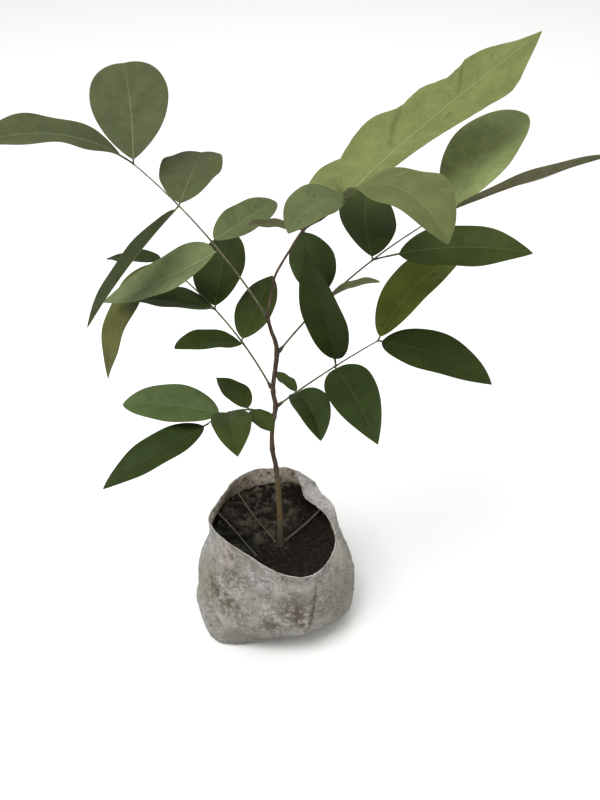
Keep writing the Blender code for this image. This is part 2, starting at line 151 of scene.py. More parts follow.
SHOOT_LEAFLETS = (
    Leaflet(75, 233, 0, -112, -10, -38, 65, 31, 3, "mid", 0.46),
    Leaflet(75, 163, -9, 3, 19, 54, 40, 14, 14, "brown", 0.48),
    Leaflet(111, 209, 29, 22, 56, -8, 53, 32, 11, "pale", 0.43, tip=0.9),
    Leaflet(112, 53, -34, 13, -20, 1, 181, 52, 4, "young", 0.63, 0.03, (4, 3.0, 30)),
    # This curled young leaf takes the soft tint, which is painted shade over the young colour.
    Leaflet(111, -41, -28, 50, 82, 0, 110, 50, 9, "soft", 0.47, tip=0.95, wave=2.4),
    Leaflet(106, 84, 8, 0, 0, -18, 62, 44, 11, "young", 0.45),
)
# Half widths of the long wavy leaf at even steps from its base to its tip, as shares of half its
# width: the left margin runs in lobes, the right one widens evenly and closes straight.
LONG_LEFT = (
    0.04, 0.56, 0.79, 0.98, 1.16, 1.27, 1.25, 1.19, 1.15, 1.09, 1.12, 1.03, 0.83, 0.81, 0.97, 0.99,
    0.78, 0.55, 0.39, 0.24, 0.02,
)
LONG_RIGHT = (
    0.04, 0.09, 0.14, 0.31, 0.36, 0.40, 0.48, 0.56, 0.59, 0.64, 0.75, 0.92, 1.02, 1.03, 1.08, 1.13,
    1.04, 0.83, 0.58, 0.31, 0.02,
)
LONG_SHARES = np.linspace(0, 1, len(LONG_LEFT))
# Its folds as (share of the length at the midrib, lean towards the tip, height on the side of the
# base, height on the side of the tip): the blade steps from the one to the other on the fold's line.
LONG_FOLDS = ((0.60, 0.135, -7.5, 2.5), (0.26, 0.21, 5.0, -5.0), (-0.24, 0.39, -2.5, 1.5))
FOLD_REACH = 0.055
FOLD_STEP = 0.014

# Dry leaf stalks as (start, end, radius, sway): each leans on the film's inside and ends on the
# soil.
DRY_STALKS = (
    ((-47, 8.4, 102), (-11, -37, 96.9), 0.85, 0.8),
    ((-29.5, 28, 105), (3.4, -22.5, 97), 0.80, -0.7),
    ((41, 12.5, 100.4), (11.6, -21.4, 97.4), 0.95, 0.5),
)

# Plain blade colours above and below, and the colour of the veins. The blade colours hold painted light
# and shade as well: leaves deep in the plant's shade are darker, sunlit ones at the top paler.
TINTS = {
    "deep": ((0.0185, 0.03, 0.0035), (0.04, 0.055, 0.022), (0.032, 0.046, 0.009)),
    "dark": ((0.019, 0.0308, 0.0058), (0.04, 0.056, 0.022), (0.034, 0.051, 0.012)),
    "green": ((0.0302, 0.044, 0.0076), (0.05, 0.068, 0.028), (0.056, 0.08, 0.02)),
    "mid": ((0.06, 0.088, 0.0275), (0.065, 0.085, 0.036), (0.098, 0.125, 0.052)),
    "dusty": ((0.0505, 0.061, 0.0238), (0.066, 0.08, 0.04), (0.11, 0.128, 0.062)),
    "pale": ((0.0685, 0.084, 0.031), (0.08, 0.098, 0.044), (0.12, 0.14, 0.064)),
    "faded": ((0.103, 0.131, 0.054), (0.1, 0.125, 0.055), (0.165, 0.19, 0.095)),
    # Painted light: the faded tint made lighter to stand in for light on a leaf that faces away from
    # the lamps.
    "washed": ((0.175, 0.212, 0.079), (0.11, 0.135, 0.06), (0.21, 0.235, 0.12)),
    "lit": ((0.08, 0.105, 0.0145), (0.07, 0.095, 0.032), (0.11, 0.14, 0.03)),
    "olive": ((0.0785, 0.0845, 0.0242), (0.08, 0.085, 0.036), (0.115, 0.12, 0.045)),
    "brown": ((0.128, 0.133, 0.058), (0.105, 0.102, 0.052), (0.14, 0.135, 0.064)),
    "young": ((0.112, 0.1345, 0.0425), (0.112, 0.135, 0.046), (0.16, 0.182, 0.072)),
    # Painted shade: the young tint made darker to stand for the shade on a young leaf under the others.
    "soft": ((0.079, 0.094, 0.0308), (0.09, 0.108, 0.038), (0.115, 0.134, 0.052)),
}
SIDE_VEIN_TINT = 0.3     # how far side veins go from the blade's colour to the midrib's


# --- materials


class Shader:
    """A Principled material whose nodes are added by short calls.

    Its base colour is built up: base is the colour so far, and patches, stains and painted shade go
    over it.
    """

    def __init__(self, name, colour, roughness, specular):
        self.material = bpy.data.materials.new(name)
        self.material.use_nodes = True
        self.tree = self.material.node_tree
        self.inputs = self.tree.nodes["Principled BSDF"].inputs
        self.inputs["Base Color"].default_value = (*colour, 1)
        self.inputs["Roughness"].default_value = roughness
        self.inputs["Specular IOR Level"].default_value = specular
        self.coordinates = self.add("TexCoord", {}, "Object")
        self.base = colour

    def add(self, kind, inputs, output, **settings):
        """A new node's output. Each input is given a number, numbers or a socket to link."""
        node = self.tree.nodes.new("ShaderNode" + kind)
        for name, value in settings.items():
            setattr(node, name, value)
        for name, value in inputs.items():
            if isinstance(value, bpy.types.NodeSocket):
                self.tree.links.new(value, node.inputs[name])
            else:
                node.inputs[name].default_value = value
        return node.outputs[output]

    def noise(self, scale, detail=4, roughness=0.55, stretch=None, distortion=0):
        """Noise in object space. scale is in waves a metre."""
        place = self.coordinates
        if stretch:
            place = self.add("Mapping", {"Vector": place, "Scale": stretch}, "Vector")
        return self.add("TexNoise", {
            "Vector": place, "Scale": scale, "Detail": detail, "Roughness": roughness,
            "Distortion": distortion,
        }, "Fac")

    def ramp(self, value, low, high):
        """0 below low and 1 above high, smooth between them."""
        inputs = {"Value": value, "From Min": low, "From Max": high}
        return self.add("MapRange", inputs, "Result", interpolation_type="SMOOTHSTEP")

    def spots(self, low, high, *grain):
        """Noise with soft edges, 0 below low and 1 above high."""
        return self.ramp(self.noise(*grain), low, high)

    def lines(self, low, high, *grain):
        """1 on the lines where a noise is at its middle, 0 beside them."""
        away = self.math("ABSOLUTE", self.math("SUBTRACT", self.noise(*grain), 0.5), 0)
        return self.rest(self.ramp(away, low, high))

    def math(self, operation, first, second):
        return self.add("Math", {0: first, 1: second}, 0, operation=operation)

    def times(self, first, second):
        return self.math("MULTIPLY", first, second)

    def rest(self, value):
        """What a value leaves of 1."""
        return self.math("SUBTRACT", 1, value)

    def near(self, place, radii, turn=(0, 0, 0)):
        """1 at a place, in millimetres, falling to 0 on a turned ellipsoid round it."""
        inside = self.add("Mapping", {
            "Vector": self.coordinates,
            "Location": [v * MM for v in place],
            "Rotation": [math.radians(v) for v in turn],
            "Scale": [v * MM for v in radii],
        }, "Vector", vector_type="TEXTURE")
        length = self.add("VectorMath", {0: inside}, "Value", operation="LENGTH")
        return self.rest(self.ramp(length, 0, 1))

    def over(self, amount, colour):
        """Lays a colour over the base by an amount from 0 to 1."""
        inputs = {"Factor": amount}
        for name, value in (("A", self.base), ("B", colour)):
            inputs[name] = (*value, 1) if isinstance(value, tuple) else value
        self.base = self.add("Mix", inputs, "Result", data_type="RGBA")
        self.tree.links.new(self.base, self.inputs["Base Color"])

    def stain_or_shade(self, place, radii, strength, mask, colour, *turn):
        """Lays a colour over the base round a place, broken up by the mask if there is one."""
        # It lays real stains and also painted shade.
        spot = self.times(self.near(place, radii, *turn), strength)
        if mask:
            spot = self.times(spot, mask)
        self.over(self.ramp(spot, 0, 1), colour)

    def between(self, value, low, high):
        return self.add("MapRange", {"Value": value, "To Min": low, "To Max": high}, "Result")

    def tone(self, value, low, high):
        """Makes the base darker or lighter by a value from 0 to 1."""
        inputs = {0: self.base, "Scale": self.between(value, low, high)}
        self.base = self.add("VectorMath", inputs, "Vector", operation="SCALE")

    def roughness(self, value, low, high):
        self.tree.links.new(self.between(value, low, high), self.inputs["Roughness"])

    def bump(self, height, distance, strength):
        inputs = {"Height": height, "Distance": distance * MM, "Strength": strength}
        self.tree.links.new(self.add("Bump", inputs, "Normal"), self.inputs["Normal"])


def shade(colour, factor):
    return tuple(v * factor for v in colour)


def leaf_material(name, colour, roughness):
    """Blade tissue: soft blotches, fine grain, a few scars and a satin surface."""
    made = Shader(name, shade(colour, 0.84), roughness, 0.1)
    made.over(made.spots(0.36, 0.66, 70, 4, 0.6), shade(colour, 1.14))
    made.over(made.times(made.spots(0.3, 0.7, 480, 3), 0.5), shade(colour, 1.12))
    scars = made.times(made.lines(0.002, 0.012, 62, 2, 0.5), made.spots(0.56, 0.66, 48, 2))
    made.over(made.times(scars, 0.6), shade(colour, 0.45))
    made.roughness(made.noise(160), roughness - 0.06, roughness + 0.1)
    made.bump(made.noise(1400, 5), 0.12, 0.35)
    return made.material


def vein_material(name, colour):
    made = Shader(name, colour, 0.55, 0.15)
    made.bump(made.noise(900), 0.05, 0.3)
    return made.material


def bark_material():
    """Brown bark of a young stem: lengthwise ridges and specks, yellower near the soil."""
    made = Shader("bark", (0.04, 0.024, 0.017), 0.8, 0.15)
    ridges = made.noise(700, 5, 0.6, (1, 1, 0.16))
    made.over(made.ramp(ridges, 0.35, 0.7), (0.105, 0.069, 0.047))
    made.over(made.spots(0.5, 0.7, 70, 3, 0.5, (1, 1, 0.6)), (0.08, 0.056, 0.036))
    made.stain_or_shade((8, -24, 146), (40, 40, 44), 1 / 0.6, None, (0.088, 0.061, 0.026))
    made.stain_or_shade((8, -24, 104), (30, 30, 34), 1 / 0.7, None, (0.061, 0.05, 0.033))
    blotches = made.spots(0.52, 0.64, 190, 4, 0.6, (1, 1, 0.5))
    made.over(made.times(blotches, 0.55), (0.035, 0.024, 0.018))
    made.bump(ridges, 0.35, 0.8)
    return made.material


def dry_material():
    """Dry grey-brown stalks, darker towards the front left where the rim's shade is painted on."""
    made = Shader("dry_stalk", (0.06, 0.055, 0.036), 0.8, 0.2)
    streaks = made.noise(600, 4, 0.6, (0.3, 0.3, 1))
    made.over(made.ramp(streaks, 0.3, 0.7), (0.115, 0.108, 0.082))
    # Painted shade: darker towards the front left, where the stalks lie in the shade of the rim.
    made.over(made.times(made.near((-22, -22, 98), (40, 44, 30)), 0.85), (0.036, 0.035, 0.026))
    made.bump(streaks, 0.2, 0.6)
    return made.material


# Materials of two colours mixed by one noise, as (roughness and specular level, colours, noise,
# the range of the noise between them, depth and strength of its relief).
GRAINED = {
    "stalk": (
        (0.6, 0.2), ((0.055, 0.052, 0.026), (0.125, 0.12, 0.066)), (500, 4, 0.5, (0.4, 0.4, 0.4)),
        (0.35, 0.65), (0.1, 0.4),
    ),
    "pulvinus": (
        (0.7, 0.3), ((0.035, 0.03, 0.02), (0.065, 0.055, 0.035)), (1200,), (0.35, 0.65), (0.15, 0.5),
    ),
    "film_edge": ((0.6, 0.25), ((0.48, 0.47, 0.44), (0.26, 0.235, 0.19)), (90,), (0.48, 0.66), None),
}
CRUMBS = {
    "crumb_dark": (0.011, 0.009, 0.006),
    "crumb_brown": (0.026, 0.02, 0.014),
    "crumb_grey": (0.036, 0.034, 0.025),
    "crumb_tan": (0.085, 0.064, 0.044),
    "fibre": (0.06, 0.05, 0.034),
}


def grained_material(name, surface, colours, grain, ramp, relief):
    made = Shader(name, colours[0], *surface)
    waves = made.noise(*grain)
    made.over(made.ramp(waves, *ramp), colours[1])
    if relief:
        made.bump(waves, *relief)
    return made.material


def crumb_material(name):
    colours = (shade(CRUMBS[name], 0.6), shade(CRUMBS[name], 1.3))
    return grained_material(name, (0.95, 0.2), colours, (900, 4, 0.6), (0.3, 0.7), (0.3, 0.7))


# Stains, bare patches and dirt of the film, and a strip of painted shade: where, how far, how strong,
# broken up by which noise, in which colour and how turned, if it is.
STAINS_AND_SHADE = (
    ((62, -38, 45), (36, 46, 68), 1.15, None, (0.225, 0.218, 0.168)),
    ((-8, -52, 84), (46, 24, 18), 1, None, (0.375, 0.362, 0.336), (0, 8, 0)),
    ((22, -62, 60), (26, 34, 42), 1.1, "fine", (0.15, 0.118, 0.098)),
    ((18, -62, 60), (17, 30, 20), 1.7, "streaks", (0.085, 0.058, 0.052)),
    ((26, -62, 44), (14, 30, 24), 1.3, "streaks", (0.085, 0.06, 0.045)),
    ((4, -62, 10), (62, 34, 26), 1.2, "fine", (0.13, 0.11, 0.09)),
    ((-36, -35, 92), (30, 26, 24), 1, "smudge", (0.34, 0.305, 0.27)),
    ((-33, -34, 97), (7, 9, 12), 1.4, "fine", (0.12, 0.085, 0.08)),
    ((46, 24, 102), (34, 34, 17), 1.3, None, (0.45, 0.428, 0.4)),
    ((60, -16, 82), (24, 42, 38), 0.9, None, (0.39, 0.376, 0.3)),
    ((-20, -58, 16), (52, 36, 28), 1, None, (0.185, 0.17, 0.148)),
    ((26, -60, 72), (15, 24, 15), 1.2, None, (0.175, 0.158, 0.137)),
    ((0, -61, 42), (17, 26, 12), 1.4, "fine", (0.1, 0.082, 0.07)),
    ((-46, -42, 97), (18, 20, 15), 0.9, None, (0.43, 0.412, 0.37)),
    ((34, -52, 78), (26, 22, 22), 0.7, None, (0.32, 0.308, 0.265)),
    ((-35, -44, 78), (20, 20, 14), 1, "fine", (0.15, 0.115, 0.1)),
    ((-58, -30, 62), (26, 34, 50), 0.8, None, (0.215, 0.215, 0.155)),
    ((-42, -46, 58), (34, 15, 12), 1.7, "streaks", (0.095, 0.088, 0.052), (0, 24, -47)),
    ((-40, -48, 50), (30, 20, 20), 0.9, "fine", (0.15, 0.138, 0.1), (0, 20, -47)),
    ((-54, -36, 46), (18, 22, 26), 1, "fine", (0.12, 0.11, 0.075)),
    # Painted shade: a thin dark strip down the lap's edge, where the lapped film shades the film beside
    # it.
    ((34.5, -59.3, 58), (4.2, 9, 54), 1.5, "fine", (0.085, 0.07, 0.048), (-4, 8, 0)),
)


def film_material():
    """Cloudy grey crumpled plastic film, dusty, with stains, streaks, scuffs and painted shade in its
    creases.
    """
    made = Shader("bag_film", (0.225, 0.216, 0.19), 0.6, 0.35)
    clouds = made.noise(34, 5, 0.65)
    speckle = made.noise(300, 5, 0.72)
    patches = made.noise(105, 6, 0.7, (1, 1, 0.75))
    made.over(made.ramp(clouds, 0.3, 0.7), (0.325, 0.314, 0.286))
    made.over(made.ramp(patches, 0.53, 0.66), (0.39, 0.377, 0.347))
    made.over(made.ramp(patches, 0.47, 0.35), (0.14, 0.127, 0.103))
    masks = {
        "smudge": made.spots(0.38, 0.58, 75, 5, 0.65),
        "fine": made.spots(0.38, 0.62, 190, 5, 0.7),
        "streaks": made.spots(0.42, 0.6, 160, 5, 0.7),
    }
    for place, radii, strength, mask, colour, *turn in STAINS_AND_SHADE:
        made.stain_or_shade(place, radii, strength, masks.get(mask), colour, *turn)
    made.over(made.times(made.spots(0.55, 0.72, 42, 5, 0.6), 0.4), (0.15, 0.132, 0.105))
    made.tone(made.ramp(speckle, 0.32, 0.68), 0.82, 1.16)

    # Painted shade: fine dark lines in the film's small creases, where shade falls; they also dent the
    # relief.
    shaded_creases = made.math("MAXIMUM", *(
        made.lines(0, width, scale, 4, 0.6, (1, 1, 1.5), 0.6)
        for scale, width in ((58, 0.028), (112, 0.046))
    ))
    shaded_creases = made.times(shaded_creases, made.spots(0.36, 0.56, 50, 3))
    made.over(made.times(shaded_creases, 0.62), (0.08, 0.068, 0.052))
    made.roughness(clouds, 0.42, 0.72)
    crumple = made.math("ADD", made.noise(150, 6, 0.65), made.times(speckle, 0.4))
    made.bump(made.math("SUBTRACT", crumple, made.times(shaded_creases, 0.25)), 1.6, 0.75)
    return made.material


def film_inside_material():
    """The inside of the film: beige, with soil clinging to its lower part."""
    made = Shader("film_inside", (0.4, 0.325, 0.25), 0.8, 0.15)
    clouds = made.noise(70, 5, 0.65)
    made.over(made.ramp(clouds, 0.35, 0.65), (0.82, 0.73, 0.59))
    made.over(made.times(made.near((-20, 42, 106), (20, 20, 16)), 0.6), (0.43, 0.29, 0.24))
    made.over(made.near((-38, 28, 101), (32, 34, 20)), (0.17, 0.142, 0.104))
    made.over(made.times(made.spots(0.5, 0.64, 240, 5, 0.7), 0.85), (0.07, 0.05, 0.036))
    height = made.add("SeparateXYZ", {0: made.coordinates}, "Z")
    ragged = made.math("ADD", height, made.times(clouds, -0.016))
    made.over(made.rest(made.ramp(ragged, 0.0828, 0.0868)), (0.022, 0.016, 0.011))
    made.bump(clouds, 0.8, 0.6)
    return made.material


def soil_material():
    """Dark soil, mossy at the left, browner at the back, with painted shade along the front left."""
    made = Shader("soil", (0.008, 0.006, 0.0042), 0.92, 0.08)
    crumbs = made.noise(230, 5, 0.6)
    made.over(made.ramp(crumbs, 0.4, 0.72), (0.019, 0.0155, 0.011))
    patches = made.spots(0.42, 0.6, 75, 4, 0.6)
    made.stain_or_shade((-26, 4, 96), (54, 52, 30), 2.4, patches, (0.0345, 0.035, 0.023))
    patches = made.spots(0.42, 0.62, 110, 4)
    made.stain_or_shade((-10, 14, 97), (48, 46, 14), 1.8, patches, (0.068, 0.055, 0.041))
    # Painted shade: near black along the front left, where the soil lies in the shaded gap under the
    # film.
    made.stain_or_shade((-38, -4, 91), (58, 13, 26), 1.6, None, (0.004, 0.0034, 0.0026), (0, 0, -44))
    made.bump(crumbs, 0.9, 0.9)
    return made.material


# --- curves and meshes

# Sides and rings of each kind of tube.
TRUNK_MESH = (20, 330)
SHOOT_MESH = (12, 130)
LIMB_MESH = (12, 120)
MIDRIB_MESH = (6, 26)
STALKLET_MESH = (8, 8)
FIBRE_MESH = (5, 12)
DRY_STALK_MESH = (10, 70)


def heading_vector(heading, rise):
    level = math.cos(math.radians(rise))
    return np.array((
        level * math.cos(math.radians(heading)),
        level * math.sin(math.radians(heading)),
        math.sin(math.radians(rise)),
    ))


def read_rows(place, places, rows):
    """Points between the rows of a table whose rows stand at the given places."""
    return np.stack([np.interp(place, places, rows[:, i]) for i in range(3)], -1)


class Path:
    """A curve through points, read by the distance along it."""

    def __init__(self, points, radii=None):
        self.points = np.array(points, dtype=float)
        self.radii = radii
        steps = np.linalg.norm(np.diff(self.points, axis=0), axis=1)
        self.distances = np.concatenate(((0.0,), np.cumsum(steps)))
        self.length = float(self.distances[-1])

    def at(self, distance):
        return read_rows(distance, self.distances, self.points)

    def radius(self, distance):
        return float(np.interp(distance, self.distances, self.radii))

    def direction(self, distance):
        low = min(max(distance - 0.5, 0.0), self.length - 1.0)
        step = self.at(low + 1.0) - self.at(low)
        return step / np.linalg.norm(step)

    def clear_of(self, point):
        return float((np.linalg.norm(self.points - point, axis=1) - self.radii).min())


def arching_path(start, heading, turn, rise, droop, length, steps):
    points = [np.array(start, dtype=float)]
    for step in range(steps):
        share = (step + 0.5) / steps
        way = heading_vector(heading + turn * share, rise - droop * share)
        points.append(points[-1] + way * length / steps)
    return Path(points)


def knot_spline(before, here, there, after, t):
    """A Catmull-Rom spline from here, at t = 0, to there, at t = 1."""
    bend = (2 * before - 5 * here + 4 * there - after) * t * t
    twist = (3 * here - before - 3 * there + after) * t * t * t
    return 0.5 * (2 * here + (there - before) * t + bend + twist)


def spline_path(nodes, steps=12):
    rows = np.array(nodes, dtype=float)
    rows = np.vstack((2 * rows[0] - rows[1], rows, 2 * rows[-1] - rows[-2]))
    samples = []
    for knots in zip(rows, rows[1:], rows[2:], rows[3:]):
        samples.extend(knot_spline(*knots, step / steps) for step in range(steps))
    samples.append(rows[-2])
    samples = np.array(samples)
    return Path(samples[:, :3], samples[:, 3])


class Soup:
    """Points and faces gathered for one piece, with a material number for each face."""

    def __init__(self):
        self.points = []
        self.faces = []
        self.slots = []

    def add(self, points, faces, slot=0):
        first = len(self.points)
        self.points.extend(np.asarray(points, dtype=float))
        self.faces.extend([tuple(first + i for i in face) for face in faces])
        self.slots.extend([slot] * len(faces))


def new_object(name, data):
    obj = bpy.data.objects.new(name, data)
    bpy.context.scene.collection.objects.link(obj)
    return obj


def mesh_piece(name, soup, materials, nodes):
    """A shown piece from a soup, standing for the named CAD nodes."""
    mesh = bpy.data.meshes.new(name)
    mesh.from_pydata([tuple(float(v) * MM for v in point) for point in soup.points], [], soup.faces)
    mesh.shade_smooth()
    for material in materials:
        mesh.materials.append(material)
    mesh.polygons.foreach_set("material_index", soup.slots)
    obj = new_object(name, mesh)
    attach(obj, "root")
    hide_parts(*nodes)


def grid_faces(rows, columns, wrap=False):
    faces = []
    for row in range(rows - 1):
        for column in range(columns if wrap else columns - 1):
            ahead = (column + 1) % columns
            low = row * columns
            high = low + columns
            faces.append((low + column, low + ahead, high + ahead, high + column))
    return faces


def flipped(faces):
    return [tuple(reversed(face)) for face in faces]


def tube(path, radius, sides, rings, relief=None, start=0.0, end=None):
    """A closed tube. radius takes the distance along it; relief takes (distance, angle)."""
    points = []
    for distance in np.linspace(start, end or path.length, rings):
        along = path.direction(distance)
        across = np.cross(along, (0.0, 1.0, 0.0))
        across /= np.linalg.norm(across)
        over = np.cross(across, along)
        centre = path.at(distance)
        for side in range(sides):
            angle = math.tau * side / sides
            reach = radius(distance)
            if relief:
                reach += relief(distance, angle)
            points.append(centre + reach * (across * math.cos(angle) - over * math.sin(angle)))
    faces = grid_faces(rings, sides, wrap=True)
    faces += flipped([range(sides)])
    faces.append(tuple((rings - 1) * sides + side for side in range(sides)))
    return points, faces


def wobble(x, y, z):
    return noise.noise(Vector((x, y, z)))


def taper(path, radii):
    """A radius for tube that runs evenly through the given ones, set at even steps."""
    places = np.linspace(0, path.length, len(radii))
    return lambda distance: float(np.interp(distance, places, radii))


def ring_wobble(angle, scale, along):
    return wobble(math.cos(angle) * scale, math.sin(angle) * scale, along)


def bell(away, width):
    """1 where away is nought, falling off evenly on both sides."""
    return math.exp(-(away / width) ** 2)


def swelling(place, joints, width):
    """1 at each joint, falling to 0 between them."""
    return min(sum(bell(place - joint, width) for joint in joints), 1.0)


# --- leaves

BLADE_ROWS = 56
BLADE_HALF = 9
BLADE_THICKNESS = 0.5
SIDE_VEINS = 8
VEIN_LEAN = 0.17


def outline(share, widest, base, tip):
    """Half width of a leaf outline, 1 at its widest place."""
    share = np.clip(share, 0.0, 1.0)
    near = np.clip(share / widest, 0.0, 1.0)
    far = np.clip((1 - share) / (1 - widest), 0.0, 1.0)
    return (1 - (1 - near) ** 2) ** base * (1 - (1 - far) ** 2) ** tip


class Blade:
    """The surface of one leaflet, read at a share of its length and a side from -1 to 1."""

    def __init__(self, start, leaf, seed):
        self.leaf = leaf
        self.seed = seed
        steps = 60
        path = arching_path(start, leaf.heading, leaf.turn, leaf.rise, leaf.droop, leaf.length, steps)
        self.shares = np.linspace(0, 1, steps + 1)
        self.centres = path.points
        heading = np.radians(leaf.heading + leaf.turn * self.shares)
        rise = np.radians(leaf.rise - leaf.droop * self.shares)
        zero = np.zeros_like(heading)
        level = np.cos(rise)
        along = np.stack((level * np.cos(heading), level * np.sin(heading), np.sin(rise)), -1)
        left = np.stack((-np.sin(heading), np.cos(heading), zero), -1)
        above = np.cross(along, left)
        roll = math.radians(leaf.roll)
        self.left = left * math.cos(roll) + above * math.sin(roll)
        self.above = above * math.cos(roll) - left * math.sin(roll)

    def width(self, share, side):
        leaf = self.leaf
        blade_share = (share - leaf.neck) / (1 - leaf.neck)
        tip = leaf.tip or min(max(LEAF_SHAPE * (1 - leaf.widest) / leaf.widest, 0.5), 1.1)
        half = leaf.width / 2 * outline(blade_share, leaf.widest, leaf.base, tip)
        if leaf.lobes:
            left = leaf.width / 2 * np.interp(share, LONG_SHARES, LONG_LEFT)
            right = leaf.width / 2 * np.interp(share, LONG_SHARES, LONG_RIGHT)
            half = np.where(side > 0, left, np.where(side < 0, right, (left + right) / 2))
        return half + 0.4 * (1 - share) + 0.06

    def at(self, share, side, lift=0.0):
        """Points of the surface. share and side are arrays; lift is along the blade's up."""
        leaf = self.leaf
        share = np.asarray(share, dtype=float)
        side = np.asarray(side, dtype=float)
        reach = np.abs(side)
        width = self.width(share, side)
        fold = math.radians(leaf.fold)
        out = width * side * math.cos(fold)
        up = width * math.sin(fold) * reach * (1.3 - 0.3 * reach)
        vein = np.sin(math.pi * SIDE_VEINS * (share - VEIN_LEAN * reach)) ** 2
        swell = np.clip(width / 12, 0, 1)
        up += 0.38 * vein * swell * 4 * reach * (1 - reach) * (0.4 + 0.6 * reach)
        turn = self.seed * 1.7
        ripple = np.sin(math.tau * (2.3 * share + 0.13 * turn) + np.sign(side) * 0.9 + turn)
        up += leaf.wave * ripple * reach ** 2 * np.sin(math.pi * np.clip(share, 0, 1))
        if leaf.lobes:
            waves, rise, phase = leaf.lobes
            crest = np.sin(math.tau * waves * share + math.radians(phase) - 1.2 * reach)
            up += rise * crest * reach * np.where(side > 0, 1.0, 0.35) * np.sin(math.pi * share) ** 0.6
            strong = np.where(side > 0, reach ** 0.7, 0.2 * reach) * (1 - 0.85 * reach ** 3)
            for place, lean, before, after in LONG_FOLDS:
                away = share - place - lean * reach
                height = before + (after - before) * (0.5 + 0.5 * np.tanh(away / FOLD_STEP))
                up += height * strong * np.exp(-np.abs(away) / FOLD_REACH)
        up += lift
        centre, left, above = (
            read_rows(share, self.shares, rows) for rows in (self.centres, self.left, self.above)
        )
        return centre + left * out[..., None] + above * up[..., None]

    def blade(self, soup, top_slot, under_slot):
        """A thin closed blade from the end of the stalklet to the tip."""
        rows = BLADE_ROWS * (5 if self.leaf.lobes else 1)
        columns = 2 * BLADE_HALF * (2 if self.leaf.lobes else 1) + 1
        place = np.linspace(0, 1, rows)
        place = 0.3 * place + 0.35 * (1 - np.cos(math.pi * place))
        place = self.leaf.neck * 0.6 + (1 - self.leaf.neck * 0.6) * place
        share, side = np.meshgrid(place, np.linspace(1, -1, columns), indexing="ij")
        thin = BLADE_THICKNESS / 2 * (1 - 0.6 * np.abs(side) ** 4)
        top = self.at(share, side, thin).reshape(-1, 3)
        under = self.at(share, side, -thin).reshape(-1, 3)
        faces = grid_faces(rows, columns)
        soup.add(top, flipped(faces), top_slot)
        soup.add(under, faces, under_slot)
        edge = [row * columns for row in range(rows)]
        edge += [(rows - 1) * columns + column for column in range(1, columns)]
        edge += [row * columns + columns - 1 for row in range(rows - 2, -1, -1)]
        edge += list(range(columns - 2, 0, -1))
        ring = np.vstack((top[edge], under[edge]))
        count = len(edge)
        bridge = [(i, (i + 1) % count, count + (i + 1) % count, count + i) for i in range(count)]
        soup.add(ring, bridge, top_slot)

    def veins(self, soup, slot):
        """A tapering midrib and pairs of side veins that curve towards the tip."""
        leaf = self.leaf
        shares = np.linspace(leaf.neck * 0.5, 0.985, 30)
        spine = Path(self.at(shares, np.zeros(30), -0.06))
        foot_radius = 0.56 * leaf.length / 90.0 + 0.1
        soup.add(*tube(spine, taper(spine, (foot_radius, 0.37)), *MIDRIB_MESH), slot)
        for pair in range(1, SIDE_VEINS + 1):
            begins = leaf.neck + (1 - leaf.neck) * (pair - 0.4) / (SIDE_VEINS + 1.2)
            for way in (1, -1):
                sides = np.linspace(0.03, 0.9, 9)
                along = begins + VEIN_LEAN * sides ** 1.25
                keep = along < 0.97
                sides, along = sides[keep], along[keep]
                if len(sides) < 4:
                    continue
                half = 0.22 * (1 - sides) + 0.05
                step = half / leaf.length
                for height in (BLADE_THICKNESS / 2 + 0.03, -BLADE_THICKNESS / 2 - 0.05):
                    low = self.at(along - step, way * sides, height)
                    high = self.at(along + step, way * sides, height)
                    points = np.stack((low, high), 1).reshape(-1, 3)
                    faces = [(2 * i, 2 * i + 1, 2 * i + 3, 2 * i + 2) for i in range(len(sides) - 1)]
                    if (way > 0) == (height > 0):
                        faces = flipped(faces)
                    soup.add(points, faces, slot + 1)

    def stalklet(self, soup, slot):
        shares = np.linspace(0.0, max(self.leaf.neck, 0.03) + 0.03, 10)
        spine = Path(self.at(shares, np.zeros(10)))
        soup.add(*tube(spine, taper(spine, STALKLET_RADII), *STALKLET_MESH), slot)


def tint_materials(tints):
    """Blade, underside and vein materials of the tints a mass uses, in order."""
    materials = []
    for tint in tints:
        above, below, vein = TINTS[tint]
        side_vein = tuple(a + (v - a) * SIDE_VEIN_TINT for a, v in zip(above, vein))
        for name, make, *look in (
            (f"leaf_{tint}", leaf_material, above, 0.55),
            (f"leaf_{tint}_under", leaf_material, below, 0.65),
            (f"midrib_{tint}", vein_material, vein),
            (f"side_vein_{tint}", vein_material, side_vein),
        ):
            materials.append(bpy.data.materials.get(name) or make(name, *look))
    return materials


def make_leaves(place, path, leaflets, seed):
    """The blades and the veins of one mass, as two joined pieces."""
    tints = sorted({leaf.tint for leaf in leaflets})
    materials = tint_materials(tints)
    blades, veins, stalklets = Soup(), Soup(), Soup()
    for number, leaf in enumerate(leaflets):
        blade = Blade(path.at(min(leaf.at, path.length)), leaf, seed + number)
        first = 4 * tints.index(leaf.tint)
        blade.blade(blades, first, first + 1)
        blade.veins(veins, first + 2)
        blade.stalklet(stalklets, 0)
    node = "foliage_" + place
    mesh_piece("leaves_" + place, blades, materials, [node])
    mesh_piece("veins_" + place, veins, materials, [node])
    return stalklets


# --- stems


def bark_relief(distance, angle):
    ridges = ring_wobble(angle, 4.5, 7 + distance * 0.12)
    return 0.16 * ring_wobble(angle, 1.6, distance * 0.22) + 0.10 * ridges


